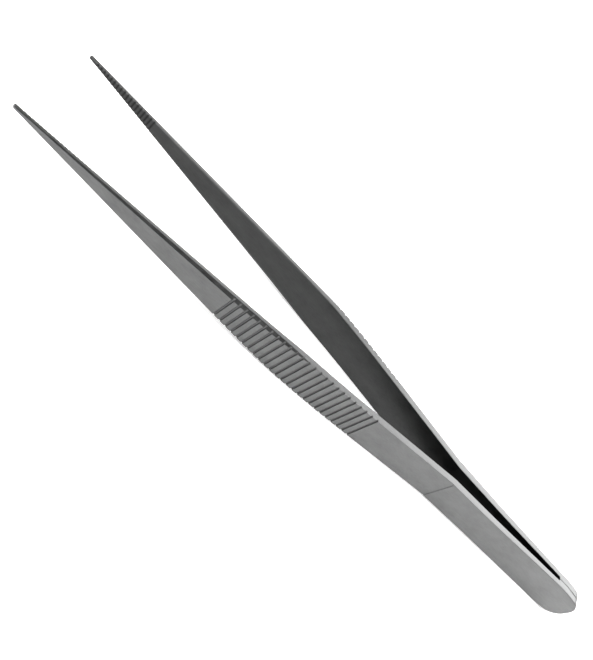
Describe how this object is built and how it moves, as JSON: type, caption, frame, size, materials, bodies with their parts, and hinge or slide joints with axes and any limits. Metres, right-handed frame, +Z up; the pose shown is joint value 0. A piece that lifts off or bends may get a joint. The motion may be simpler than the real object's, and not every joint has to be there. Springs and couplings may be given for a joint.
{
  "type": "precision tweezers",
  "caption": "Straight precision tweezers: two sprung steel arms welded at the tail, bowed apart, with cross-grooved finger grips, bevelled noses and fine serrated points.",
  "frame": {"origin": "middle of the bounding box, on the plane the part rests on", "axes": "+X along the tweezers from the welded tail to the points; +Y across, towards the left arm, the way the arms open; +Z up, across the width of the strip, with the part lying on its lower edges"},
  "size_m": [0.15, 0.0226, 0.009],
  "materials": {
    "satin_steel": "satin, fine lengthwise grain",
    "weld_metal": "fused, not visible"
  },
  "bodies": {
    "tail": {"weld_nugget": "weld_metal", "left_spring_leg": "satin_steel", "right_spring_leg": "satin_steel"},
    "left_arm": {"left_blade": "satin_steel"},
    "right_arm": {"right_blade": "satin_steel"}
  },
  "joints": [
    {"name": "left_flex", "type": "hinge", "parent": "tail", "child": "left_arm", "pos_m": [-0.046, 0.0018, 0.0045], "axis": [0, 0, -1], "range_deg": [0, 5.03], "stiffness_Nm_per_rad": 7.5, "deforming": ["left_spring_leg"]},
    {"name": "right_flex", "type": "hinge", "parent": "tail", "child": "right_arm", "pos_m": [-0.046, -0.0018, 0.0045], "axis": [0, 0, 1], "range_deg": [0, 5.03], "stiffness_Nm_per_rad": 7.5, "deforming": ["right_spring_leg"]}
  ]
}
